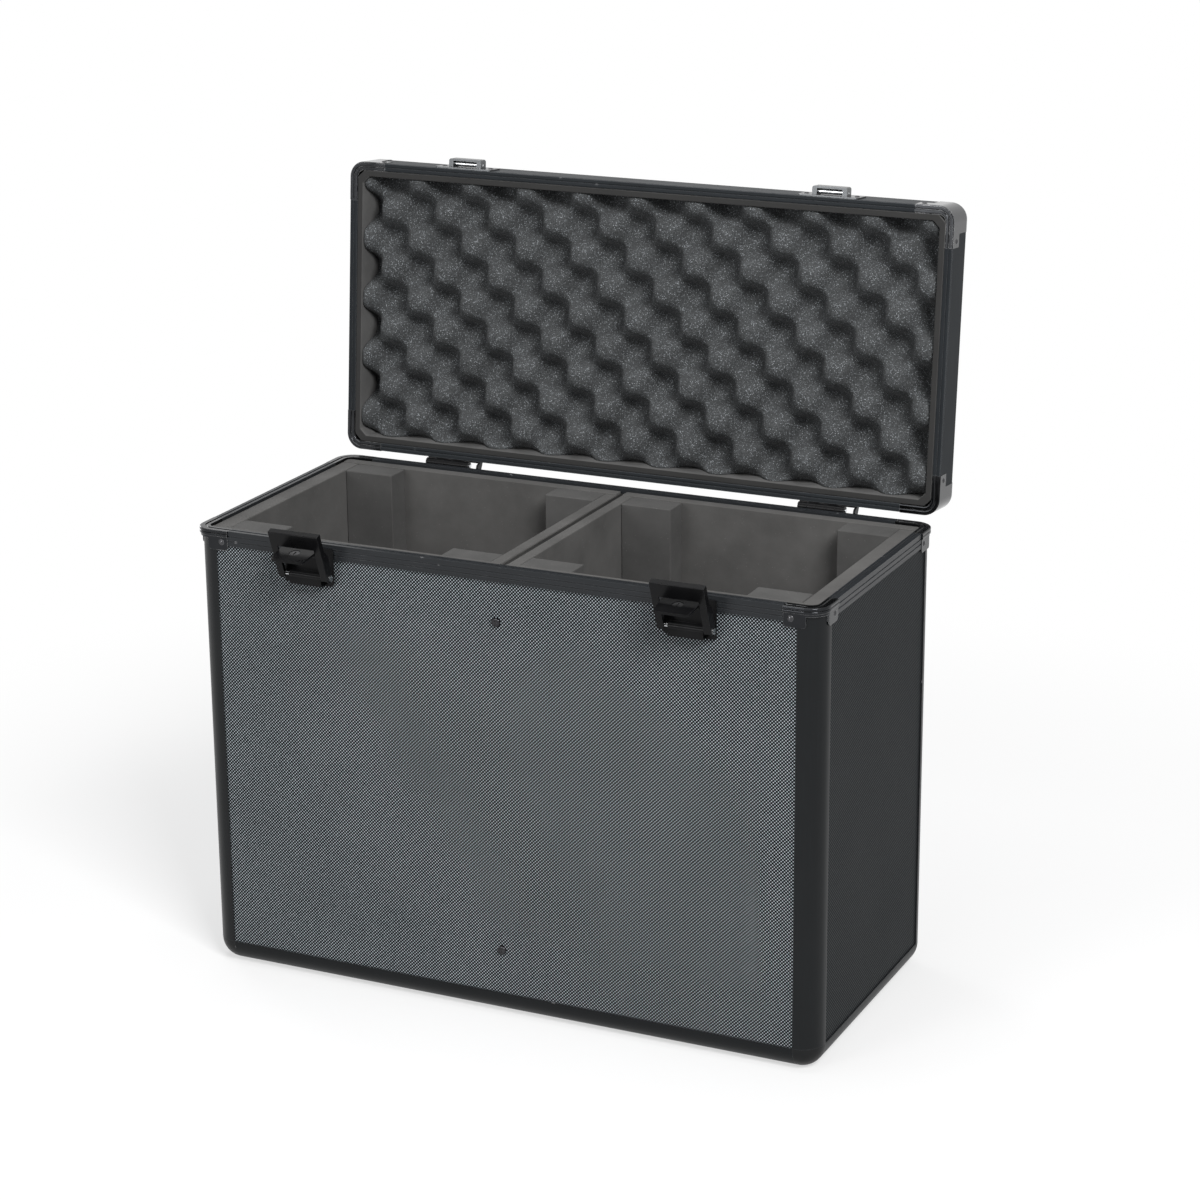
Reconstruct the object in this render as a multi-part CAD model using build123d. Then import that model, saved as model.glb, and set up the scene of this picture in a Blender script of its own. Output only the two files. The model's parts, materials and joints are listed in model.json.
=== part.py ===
from build123d import *
import math
import os

# Lighting flight case, shown as it stands with the lid open.
# Millimetres. X runs along the width, +Y to the hinge side, +Z up.
# The origin is the centre of the underside.

# Overall sizes
case_width = 560.0
case_depth = 255.0
body_height = 392.0
lid_height = 40.0
lid_gap = 0.4
open_angle = 95.0

# Plywood panels in slotted aluminium profiles
skin = 1.1
panel_recess = 1.2
panel_thickness = 5.0
lid_panel_thickness = 4.0
profile_arm = 20.5
profile_radius = 19.5
flange_thickness = 1.2
slot_clearance = 0.1
panel_edge_clearance = 0.2
panel_corner_clearance = 0.02
web_thickness = 1.2

# Ribbed rim round the mouth
rim_height = 13.0
rim_proud = 0.3
rim_wall = 1.3
rim_radius = 15.5
rim_top = 2.0
groove_depth = 0.6
groove_width = 1.2
rim_corner_arm = 32.0
corner_skin = 0.4
ear_width = 19.0
ear_drop = 4.0
ear_clearance = 0.05
ear_corner = 3.0
corner_middle_height = 7.4
corner_bead_height = 2.6
corner_bead_proud = 0.9
corner_bead_tops = (0.1, 2.8)
tongue_clearance = 0.2

# Rivets and screws
rivet_head_radius = 2.6
rivet_head_height = 1.0
rivet_shank_radius = 1.6
rivet_clearance = 0.05
corner_rivet_arm = 26.0
corner_rivet_drop = 10.0
screw_head_radius = 3.9
screw_head_height = 2.0
screw_shank_radius = 1.7
screw_length = 22.0
screw_heights = (59.0, 345.0)

# Divider and foam
board_thickness = 5.0
board_top_drop = 4.0
lining_thickness = 10.0
end_lining_thickness = 16.0
foam_clearance = 0.3
foam_top_drop = 2.0
pad_thickness = 30.0
ledge_top_drop = 92.0
ledge_hole = 150.0
corner_foam_width = 46.0
corner_foam_depth = 24.0

# Lid frame
lid_proud = 1.0
lid_radius = 13.5
lid_skin = 1.4
lid_edge_radius = 9.0
lid_rim_width = 7.0
lid_rim_thickness = 2.0
lid_bead_width = 2.9
lid_bead_height = 0.8
lid_bead_insets = (0.4, 3.9)
lid_side_groove = 1.6
lid_lip_thickness = 1.2
lid_lip_height = 10.0
lid_arm = 14.0
lid_panel_edge = 9.5
lid_corner_arm = 33.0
lid_cap_arm = 22.0
lid_cap_band = 14.5
lid_rivet_arm = 28.0
lid_rivet_height = 6.6
liner_thickness = 5.0
liner_chamfer = 6.0
liner_inset = 0.6
foam_peak_depth = 7.0
foam_valley_depth = 24.0
foam_pitch = 53.0
foam_shift_x = -4.0
foam_shift_y = -8.0
foam_peak_radius = 6.0
foam_foot_radius = 17.0

# Hinges
hinge_centres = (-178.0, 178.0)
hinge_width = 42.0
hinge_axis_offset = 4.3
knuckle_radius = 3.6
knuckle_count = 5
knuckle_gap = 0.25
hinge_pin_radius = 1.5
hinge_pin_clearance = 0.06
leaf_thickness = 1.2
leaf_clearance = 0.1
body_leaf_drop = 30.0
lid_leaf_rise = 27.0
stop_offset = 29.0
stop_thickness = 2.0
stop_reach = 7.0
stop_drop = 9.0
stop_clearance = 0.15

# Latches
latch_centres = (-170.0, 170.0)
latch_width = 46.0
latch_rest_lean = 20.0
latch_plate = 1.2
latch_base_top_drop = 3.5
latch_base_bottom_drop = 35.0
latch_pin_drop = 26.5
latch_pin_stand = 7.0
latch_pin_radius = 1.3
latch_pin_head_radius = 2.7
latch_pin_head = 0.7
latch_pin_head_clearance = 0.1
latch_pin_clearance = 0.06
frame_sheet = 1.6
frame_front_offset = 5.0
frame_top = 44.1
frame_bar_height = 13.0
frame_window_half = 17.0
frame_leg_back = 4.0
frame_top_back = 0.4
frame_step_low = 20.0
frame_step_high = 27.0
boss_half_width = 15.0
boss_radius = 2.6
boss_drop = 8.0
lever_width = 33.0
lever_thickness = 2.0
lever_tip = 2.0
lever_axle_offset = 1.6
lever_axle_height = 23.6
lever_axle_radius = 1.3
lever_barrel_radius = 2.5
lever_rest_open = 100.0
lock_radius = 4.6
lock_clearance = 0.1
lock_drop = 6.4
lock_slot = (5.0, 1.2)
spring_wire_radius = 0.55
spring_x = 16.6
spring_y = -1.8
spring_top = 17.0
spring_low = 3.6

# Catches on the lid
catch_width = 54.0
catch_height = 20.0
catch_bottom = 1.0
catch_plate = 1.2
bridge_width = 31.0
bridge_bottom = 5.0
bridge_height = 10.0
bridge_stand = 8.4
bridge_wall = 1.8
bridge_cheek = 4.2
roller_radius = 2.3
roller_axle_radius = 1.1
roller_clearance = 0.3

# Carrying handle on the lid
handle_pivot_half = 62.0
handle_bracket_width = 18.0
handle_bracket_depth = 32.0
handle_bracket_plate = 1.6
handle_barrel_radius = 6.0
handle_barrel_height = 9.5
handle_rod_radius = 3.0
handle_rod_clearance = 0.08
handle_arm_half = 49.0
handle_reach = 44.0
handle_bend_radii = (3.6, 9.0, 9.0, 3.6)
grip_half_length = 38.0
grip_radius = 9.0
grip_clearance = 0.05
handle_back_offset = 22.0

# Values worked out from the sizes above
half_w = case_width / 2
half_d = case_depth / 2
panel_back = panel_recess + panel_thickness
flange_start = panel_back + slot_clearance
flange_end = flange_start + flange_thickness
panel_corner_reach = (profile_radius - skin - panel_corner_clearance) ** 2 - (profile_radius - panel_recess) ** 2
panel_edge = profile_radius - math.sqrt(panel_corner_reach / 2)
web_end = panel_edge - panel_edge_clearance
web_start = web_end - web_thickness
rim_inner_start = rim_proud + flange_start
rim_inner_end = rim_inner_start + flange_thickness
rim_bottom = body_height - rim_height
lid_bottom = body_height + lid_gap
lid_top = lid_bottom + lid_height
lid_panel_bottom = lid_top - panel_recess - lid_panel_thickness
lid_flange_bottom = lid_panel_bottom - slot_clearance - flange_thickness
hinge_y = half_d + lid_proud + hinge_axis_offset
hinge_z = body_height + lid_gap / 2
front_face = -half_d
latch_pin_z = body_height - latch_pin_drop
latch_pin_y = front_face - latch_pin_stand
lid_open = Pos(0, hinge_y, hinge_z) * Rot(-open_angle, 0, 0) * Pos(0, -hinge_y, -hinge_z)

os.makedirs("parts", exist_ok=True)


def save(shape, name):
    """Writes one node."""
    export_step(shape, f"parts/{name}.step")


def block(x0, x1, y0, y1, z0, z1):
    """A box given by its two corners, in any order."""
    centre = Pos((x0 + x1) / 2, (y0 + y1) / 2, (z0 + z1) / 2)
    return centre * Box(abs(x1 - x0), abs(y1 - y0), abs(z1 - z0))


def rod(start, end, radius):
    """A round bar between two points."""
    path = Line(start, end)
    return sweep(Plane(origin=start, z_dir=path % 0) * Circle(radius), path=path)


def tub(width, depth, z0, z1, radius):
    """A box with its upright and bottom edges rounded alike."""
    shape = Pos(0, 0, (z0 + z1) / 2) * Box(width, depth, z1 - z0)
    rounded = shape.edges().filter_by(Axis.Z) + shape.faces().sort_by(Axis.Z)[0].edges()
    return fillet(rounded, radius)


def hood(width, depth, z0, z1, radius, top_radius):
    """A box with rounded upright edges and rounded top edges."""
    shape = Pos(0, 0, (z0 + z1) / 2) * Box(width, depth, z1 - z0)
    shape = fillet(shape.edges().filter_by(Axis.Z), radius)
    return fillet(shape.faces().sort_by(Axis.Z)[-1].edges(), top_radius)


def prism(inset, z0, z1, proud=rim_proud, outline_radius=rim_radius):
    """A rounded prism, inset from the outer face of the rim or, with its own values, of the lid."""
    radius = max(outline_radius - inset, 1.0)
    outline = RectangleRounded(case_width + 2 * (proud - inset), case_depth + 2 * (proud - inset), radius)
    return Pos(0, 0, z0) * extrude(outline, z1 - z0)


def ring(outer, inner, z0, z1, proud=rim_proud, outline_radius=rim_radius):
    """A band that follows the outline, between two insets and two heights."""
    return prism(outer, z0, z1, proud, outline_radius) - prism(inner, z0 - 1, z1 + 1, proud, outline_radius)


def lid_prism(inset, z0, z1, outline_radius=lid_radius):
    """A rounded prism, inset from the lid's outer face."""
    return prism(inset, z0, z1, lid_proud, outline_radius)


def lid_ring(outer, inner, z0, z1):
    """A band that follows the lid's outline."""
    return ring(outer, inner, z0, z1, lid_proud, lid_radius)


def corner_block(sx, sy, a0, a1, b0, b1, z0, z1):
    """A box measured inwards from one upright corner of the body."""
    return block(sx * (half_w - a0), sx * (half_w - a1), sy * (half_d - b0), sy * (half_d - b1), z0, z1)


def group(pieces):
    """Separate solids that share one node."""
    return Compound(children=list(pieces))


def dome_rivet(length):
    """A rivet along -Z, with its head above the origin."""
    sphere_radius = (rivet_head_radius**2 + rivet_head_height**2) / (2 * rivet_head_height)
    dome = Pos(0, 0, rivet_head_height - sphere_radius) * Sphere(sphere_radius)
    dome &= block(-5, 5, -5, 5, 0, 5)
    return dome + Pos(0, 0, -length / 2) * Cylinder(rivet_shank_radius, length)


corners = [(sx, sy) for sy in (-1, 1) for sx in (-1, 1)]
corner_names = {(-1, -1): "front_left", (1, -1): "front_right", (-1, 1): "back_left", (1, 1): "back_right"}
body_skin = tub(case_width, case_depth, 0, body_height, profile_radius) - tub(
    case_width - 2 * skin, case_depth - 2 * skin, skin, body_height + 40, profile_radius - skin
)


def make_panels():
    """Five plywood panels, held in the slots of the profiles."""
    top = body_height - rim_top - panel_edge_clearance
    span_x = half_w - panel_edge
    span_y = half_d - panel_edge
    hole = Cylinder(screw_shank_radius + rivet_clearance, 40)
    for name, side in (("front", -1), ("back", 1)):
        outer = side * (half_d - panel_recess)
        inner = side * (half_d - panel_back)
        panel = block(-span_x, span_x, outer, inner, panel_edge, top)
        for height in screw_heights:
            panel -= Pos(0, side * half_d, height) * Rot(90, 0, 0) * hole
        save(panel, f"{name}_panel")
    for name, side in (("left", -1), ("right", 1)):
        outer = side * (half_w - panel_recess)
        inner = side * (half_w - panel_back)
        save(block(outer, inner, -span_y, span_y, panel_edge, top), f"{name}_panel")
    flush = profile_arm + panel_edge_clearance
    bottom = block(-span_x, span_x, -span_y, span_y, panel_recess, panel_back)
    bottom += block(flush - half_w, half_w - flush, flush - half_d, half_d - flush, 0, panel_back)
    save(bottom, "bottom_panel")


def upright_profile(sx, sy):
    """One upright corner extrusion with a slot for each panel, and a tongue that rises under the rim's corner."""
    z0 = profile_arm
    z1 = rim_bottom
    arm = profile_arm
    tongue = rim_corner_arm - ear_width - tongue_clearance
    tongue_top = body_height - corner_middle_height - tongue_clearance
    shape = body_skin & corner_block(sx, sy, -1, arm, -1, arm, z0, z1)
    shape += body_skin & corner_block(sx, sy, -1, tongue, -1, tongue, z1 - 1, tongue_top)
    shape += corner_block(sx, sy, flange_start, arm, flange_start, flange_end, z0, z1)
    shape += corner_block(sx, sy, flange_start, flange_end, flange_start, arm, z0, z1)
    shape += corner_block(sx, sy, web_start, web_end, skin, flange_end, z0, z1)
    shape += corner_block(sx, sy, skin, flange_end, web_start, web_end, z0, z1)
    return shape


def long_bottom_profile(side):
    """A bottom edge extrusion along X."""
    end = half_w - profile_arm
    arm = profile_arm

    def bar(b0, b1, z0, z1):
        return block(-end, end, side * (half_d - b0), side * (half_d - b1), z0, z1)

    shape = body_skin & bar(-1, arm, -1, arm)
    shape += bar(flange_start, arm, flange_start, flange_end)
    shape += bar(flange_start, flange_end, flange_start, arm)
    shape += bar(web_start, web_end, skin, flange_end)
    shape += bar(skin, flange_end, web_start, web_end)
    return shape


def short_bottom_profile(side):
    """A bottom edge extrusion along Y."""
    end = half_d - profile_arm
    arm = profile_arm

    def bar(a0, a1, z0, z1):
        return block(side * (half_w - a0), side * (half_w - a1), -end, end, z0, z1)

    shape = body_skin & bar(-1, arm, -1, arm)
    shape += bar(flange_start, arm, flange_start, flange_end)
    shape += bar(flange_start, flange_end, flange_start, arm)
    shape += bar(web_start, web_end, skin, flange_end)
    shape += bar(skin, flange_end, web_start, web_end)
    return shape


def make_profiles():
    """The aluminium frame below the rim."""
    arm = profile_arm
    save(group(upright_profile(sx, sy) for sx, sy in corners), "corner_profiles")
    save(group(long_bottom_profile(side) for side in (-1, 1)), "bottom_profiles_long")
    save(group(short_bottom_profile(side) for side in (-1, 1)), "bottom_profiles_short")
    caps = [body_skin & corner_block(sx, sy, -1, arm, -1, arm, -1, arm) for sx, sy in corners]
    save(group(caps), "bottom_corners")


def rim_band(proud, drop, grooves):
    """The whole rim section, swept round the mouth."""
    z0 = rim_bottom - drop
    z1 = body_height
    band = ring(-proud, rim_wall, z0, z1)
    band += ring(-proud, rim_inner_end, z1 - rim_top, z1)
    band += ring(rim_inner_start, rim_inner_end, rim_bottom, z1)
    for height in grooves:
        band -= ring(-proud - 1, groove_depth - proud, height - groove_width / 2, height + groove_width / 2)
    return band - ring(3.2, 5.4, z1 - 0.6, z1 + 1)


def corner_bead(z1):
    """A half round ridge that runs round the mouth."""
    outer = prism(-corner_skin - corner_bead_proud, z1 - corner_bead_height, z1)
    ends = outer.faces().sort_by(Axis.Z)
    outer = fillet(ends[0].edges() + ends[-1].edges(), corner_bead_proud - 0.05)
    return outer - prism(0.3 - corner_skin, z1 - corner_bead_height - 1, z1 + 1)


def face_rivet(sx, sy, arm, height, stand, outward):
    """Places a rivet on the front or back face, or on an end face, near one corner."""
    rivet = dome_rivet(rim_wall + stand - 0.1)
    if outward == "y":
        turn = Rot(90, 0, 0) if sy < 0 else Rot(-90, 0, 0)
        return Pos(sx * (half_w - arm), sy * (half_d + rim_proud + stand), height) * turn * rivet
    turn = Rot(0, 90, 0) if sx > 0 else Rot(0, -90, 0)
    return Pos(sx * (half_w + rim_proud + stand), sy * (half_d - arm), height) * turn * rivet


def rivet_hole(sx, sy, arm, height, outward):
    """The hole for a corner rivet."""
    hole = Cylinder(rivet_shank_radius + rivet_clearance, 8)
    if outward == "y":
        return Pos(sx * (half_w - arm), sy * (half_d + rim_proud), height) * Rot(90, 0, 0) * hole
    return Pos(sx * (half_w + rim_proud), sy * (half_d - arm), height) * Rot(0, 90, 0) * hole


def make_rim():
    """Four ribbed rim profiles, four stamped corner pieces and their rivets."""
    plain = rim_band(0, 0, (body_height - 4.6, body_height - 8.8))
    end_x = half_w - rim_corner_arm
    end_y = half_d - rim_corner_arm
    deep = rim_corner_arm
    z0 = rim_bottom - 5
    z1 = body_height + 5
    save(plain & block(-end_x, end_x, -half_d - 5, -half_d + deep, z0, z1), "rim_profile_front")
    save(plain & block(-end_x, end_x, half_d + 5, half_d - deep, z0, z1), "rim_profile_back")
    save(plain & block(-half_w - 5, -half_w + deep, -end_y, end_y, z0, z1), "rim_profile_left")
    save(plain & block(half_w + 5, half_w - deep, -end_y, end_y, z0, z1), "rim_profile_right")
    stamped = rim_band(corner_skin, 0, ())
    for drop in corner_bead_tops:
        stamped += corner_bead(z1=body_height - drop)
    low = rim_bottom - ear_drop
    stamped += ring(-corner_skin, rim_proud - ear_clearance, low, rim_bottom + 1)
    middle = ring(-5, rim_wall + 0.1, low - 1, body_height - corner_middle_height)
    ear_start = rim_corner_arm - ear_width
    rivet_z = body_height - corner_rivet_drop
    rivets = []
    for sx, sy in corners:
        piece = stamped & corner_block(sx, sy, -5, rim_corner_arm, -5, rim_corner_arm, low - 1, body_height + 5)
        piece -= middle & corner_block(sx, sy, -5, ear_start, -5, ear_start, low - 2, body_height)
        low_edges = piece.edges().group_by(Axis.Z)[0]
        short_edges = low_edges.filter_by(lambda edge: edge.length < 2 * (corner_skin + rim_proud))
        piece = fillet(short_edges, ear_corner)
        for outward in ("x", "y"):
            piece -= rivet_hole(sx, sy, corner_rivet_arm, rivet_z, outward)
            rivets.append(face_rivet(sx, sy, corner_rivet_arm, rivet_z, corner_skin, outward))
        save(piece, f"rim_corner_{corner_names[(sx, sy)]}")
    save(group(rivets), "rim_rivets")


def make_divider():
    """The board between the two bays and the four screws that hold it."""
    half = board_thickness / 2
    wide = half_d - panel_back - slot_clearance
    narrow = half_d - rim_inner_end + rim_proud - slot_clearance
    floor = flange_end + foam_clearance
    notch = rim_bottom - 1
    low = block(-half, half, -wide, wide, floor, notch)
    board = low + block(-half, half, -narrow, narrow, notch, body_height - board_top_drop)
    board -= block(-half - 1, half + 1, -wide - 1, -wide + profile_arm, 0, profile_arm + 1)
    board -= block(-half - 1, half + 1, wide + 1, wide - profile_arm, 0, profile_arm + 1)
    board += block(-half, half, -half_d + profile_arm + 1, half_d - profile_arm - 1, panel_back + 0.1, floor)
    screws = []
    for side in (-1, 1):
        for height in screw_heights:
            turn = Rot(90, 0, 0) if side < 0 else Rot(-90, 0, 0)
            place = Pos(0, side * (half_d - panel_recess), height) * turn
            head = Cylinder(screw_head_radius, screw_head_height)
            head = fillet(head.edges().group_by(Axis.Z)[-1], screw_head_height * 0.6)
            head = Pos(0, 0, screw_head_height / 2) * head
            for turn_angle in (0, 90):
                slot = Rot(0, 0, turn_angle) * Box(4.4, 0.9, 1.2)
                head -= Pos(0, 0, screw_head_height) * slot
            shank = Pos(0, 0, -screw_length / 2) * Cylinder(screw_shank_radius, screw_length)
            screws.append(place * (head + shank))
            bore = Pos(0, 0, -screw_length / 2) * Cylinder(screw_shank_radius + rivet_clearance, screw_length + 1)
            board -= place * bore
    save(board, "divider_board")
    save(group(screws), "divider_screws")


def bay_span(inset, end_inset):
    """One bay's inner end, outer end and half depth, inset from its lining's outer faces."""
    inner = board_thickness / 2 + foam_clearance + inset
    outer = half_w - rim_inner_end + rim_proud - foam_clearance - end_inset
    deep = half_d - rim_inner_end + rim_proud - foam_clearance - inset
    return inner, outer, deep


def bay_box(side, inset, end_inset, z0, z1):
    """A box that fills one bay."""
    inner, outer, deep = bay_span(inset, end_inset)
    return block(side * inner, side * outer, -deep, deep, z0, z1)


def bay_lining(side, z0, z1):
    """The four foam walls of one bay, rounded where they meet the case's own corners."""
    outer = bay_box(side, 0, 0, z0, z1)
    case_side = outer.edges().filter_by(Axis.Z).sort_by(Axis.X)
    case_side = case_side[-2:] if side > 0 else case_side[:2]
    outer = fillet(case_side, max(rim_radius - rim_inner_end, 1.0))
    return outer - bay_box(side, lining_thickness, end_lining_thickness, z0 - 1, z1 + 1)


def make_bays():
    """Foam in the two bays: a wall lining, an upper insert and a bottom pad."""
    floor = flange_end + foam_clearance
    top = body_height - foam_top_drop
    fit = lining_thickness + foam_clearance
    end_fit = end_lining_thickness + foam_clearance
    ledge_top = body_height - ledge_top_drop
    ledge_low = floor + pad_thickness + foam_clearance
    pads = []
    for name, side in (("left", -1), ("right", 1)):
        save(bay_lining(side, floor, top), f"{name}_bay_lining")
        pads.append(bay_box(side, fit, end_fit, floor, floor + pad_thickness))
        inner, outer, deep = bay_span(fit, end_fit)
        middle = side * (inner + outer) / 2
        half_hole = ledge_hole / 2
        insert = bay_box(side, fit, end_fit, ledge_low, ledge_top)
        insert -= block(middle - half_hole, middle + half_hole, -half_hole, half_hole, 0, body_height)
        for x0, x1 in ((inner, inner + corner_foam_width), (outer, outer - corner_foam_width)):
            for end in (-1, 1):
                y0 = end * deep
                y1 = end * (deep - corner_foam_depth)
                insert += block(side * x0, side * x1, y0, y1, ledge_low, top)
        save(insert, f"{name}_bay_insert")
    save(group(pads), "bay_bottom_pads")


def lid_bead(inset):
    """A half round ridge on the lid's mating face."""
    shape = lid_ring(inset, inset + lid_bead_width, lid_bottom, lid_bottom + lid_rim_thickness)
    return fillet(shape.faces().sort_by(Axis.Z)[0].edges(), lid_bead_height)


def lid_band(proud, side_grooves):
    """The lid's frame section, swept round, with the window for the panel."""
    z0 = lid_bottom
    z1 = lid_top + proud
    wide = case_width + 2 * lid_proud
    deep = case_depth + 2 * lid_proud
    outer = hood(wide + 2 * proud, deep + 2 * proud, z0, z1, lid_radius + proud, lid_edge_radius + proud)
    inner = hood(
        wide - 2 * lid_skin,
        deep - 2 * lid_skin,
        z0 - 5,
        lid_top - skin,
        lid_radius - lid_skin,
        lid_edge_radius - lid_skin,
    )
    band = outer - inner
    window = lid_prism(lid_arm, lid_flange_bottom - 1, lid_top + 5, lid_radius + 5)
    band += lid_ring(0.3, lid_rim_width, z0 + lid_bead_height, z0 + lid_rim_thickness)
    band -= lid_ring(0.0 - proud - 1, lid_bead_insets[0], z0 - 1, z0 + lid_bead_height)
    band += lid_ring(lid_rim_width - lid_lip_thickness, lid_rim_width, z0 + lid_bead_height, z0 + lid_lip_height)
    for inset in lid_bead_insets:
        band += lid_bead(inset)
    band += lid_ring(skin, lid_arm, lid_flange_bottom, lid_flange_bottom + flange_thickness)
    for height in side_grooves:
        band -= lid_ring(-proud - 1, groove_depth - proud, z0 + height, z0 + height + groove_width)
    return band - window


def lid_corner_zone(sx, sy, grow=0.0):
    """The space that one corner cap takes out of the lid's frame."""
    band_top = lid_bottom + lid_cap_band
    zone = corner_block(sx, sy, -9, lid_cap_arm + grow, -9, lid_cap_arm + grow, lid_bottom - 1, lid_top + 9)
    arm = lid_corner_arm + grow
    return zone + corner_block(sx, sy, -9, arm, -9, arm, lid_bottom - 1, band_top)


def make_lid():
    """The lid's four profiles, corner caps, panel, liner and foam, turned to the open pose."""
    plain = lid_band(0, (lid_side_groove,))
    for sx, sy in corners:
        plain -= lid_corner_zone(sx, sy)
    z0 = lid_bottom - 1
    z1 = lid_top + 1
    deep = lid_cap_arm
    end_x = half_w - lid_cap_arm
    end_y = half_d - lid_cap_arm
    front = plain & block(-end_x, end_x, -half_d - 5, -half_d + deep, z0, z1)
    back = plain & block(-end_x, end_x, half_d + 5, half_d - deep, z0, z1)
    left = plain & block(-half_w - 5, -half_w + deep, -end_y, end_y, z0, z1)
    right = plain & block(half_w + 5, half_w - deep, -end_y, end_y, z0, z1)
    for name, shape in (("front", front), ("back", back), ("left", left), ("right", right)):
        save(lid_open * shape, f"lid_profile_{name}")
    stamped = lid_band(corner_skin, ())
    rivet_z = lid_bottom + lid_rivet_height + 2.4
    rivets = []
    for sx, sy in corners:
        piece = stamped & lid_corner_zone(sx, sy)
        for outward in ("x", "y"):
            piece -= rivet_hole(sx, sy, lid_rivet_arm, rivet_z, outward)
            rivets.append(lid_open * lid_rivet(sx, sy, rivet_z, outward))
        save(lid_open * piece, f"lid_corner_{corner_names[(sx, sy)]}")
    save(lid_open * lid_prism(lid_panel_edge, lid_panel_bottom, lid_top - panel_recess), "lid_panel")
    liner_low = lid_bottom + liner_inset
    liner_high = lid_flange_bottom - foam_clearance
    outer = lid_rim_width + foam_clearance
    liner = chamfered_prism(outer, liner_low, liner_high, liner_chamfer)
    liner -= chamfered_prism(outer + liner_thickness, liner_low - 1, liner_high + 1, liner_chamfer)
    save(lid_open * liner, "lid_liner")
    foam_inset = outer + liner_thickness + foam_clearance
    save(lid_open * wavy_foam(foam_inset, liner_high), "lid_foam")
    return rivets


def wavy_foam(inset, high):
    """The lid's foam: a slab with staggered rows of soft peaks."""
    low = lid_bottom + foam_peak_depth
    valley = lid_bottom + foam_valley_depth
    slab = chamfered_prism(inset, valley, high, liner_chamfer)
    room = chamfered_prism(inset, low, valley + 1, liner_chamfer)
    rise = valley + 1 - low
    peak = Pos(0, 0, valley + 1 - rise / 2) * Rot(180, 0, 0) * Cone(foam_foot_radius, foam_peak_radius, rise)
    across = int(half_w // (foam_pitch / 2)) + 2
    deep = int(half_d // (foam_pitch / 2)) + 2
    peaks = []
    for row in range(-deep, deep + 1):
        for column in range(-across, across + 1):
            if (row + column) % 2 == 0:
                x = foam_shift_x + column * foam_pitch / 2
                y = foam_shift_y + row * foam_pitch / 2
                peaks.append(Pos(x, y, 0) * peak)
    return slab + (Compound(children=peaks) & room)


def lid_rivet(sx, sy, height, outward):
    """A corner cap's rivet, whose shank ends inside the cap's own wall."""
    rivet = dome_rivet(lid_skin + corner_skin - 0.1)
    stand = lid_proud + corner_skin
    if outward == "y":
        turn = Rot(90, 0, 0) if sy < 0 else Rot(-90, 0, 0)
        return Pos(sx * (half_w - lid_rivet_arm), sy * (half_d + stand), height) * turn * rivet
    turn = Rot(0, 90, 0) if sx > 0 else Rot(0, -90, 0)
    return Pos(sx * (half_w + stand), sy * (half_d - lid_rivet_arm), height) * turn * rivet


def chamfered_prism(inset, z0, z1, cut):
    """A prism with straight cut corners, inset from the lid's outer face."""
    outline = Rectangle(case_width + 2 * (lid_proud - inset), case_depth + 2 * (lid_proud - inset))
    outline = chamfer(outline.vertices(), cut)
    return Pos(0, 0, z0) * extrude(outline, z1 - z0)


def stop_blade():
    """The blade that holds the open lid, drawn about the hinge axis."""
    front = leaf_clearance + leaf_thickness + stop_clearance - hinge_axis_offset
    top = hinge_axis_offset - leaf_clearance - leaf_thickness / 2
    outline = Polyline(
        (1.9, top),
        (0.0, 0.98 * -front),
        (0.7 * front, 0.7 * -front),
        (front, 0.0),
        (front, -stop_drop),
        (0.5, -stop_drop),
        (stop_reach, top),
        close=True,
    )
    return extrude(make_face(Plane.YZ * outline), stop_thickness)


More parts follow.
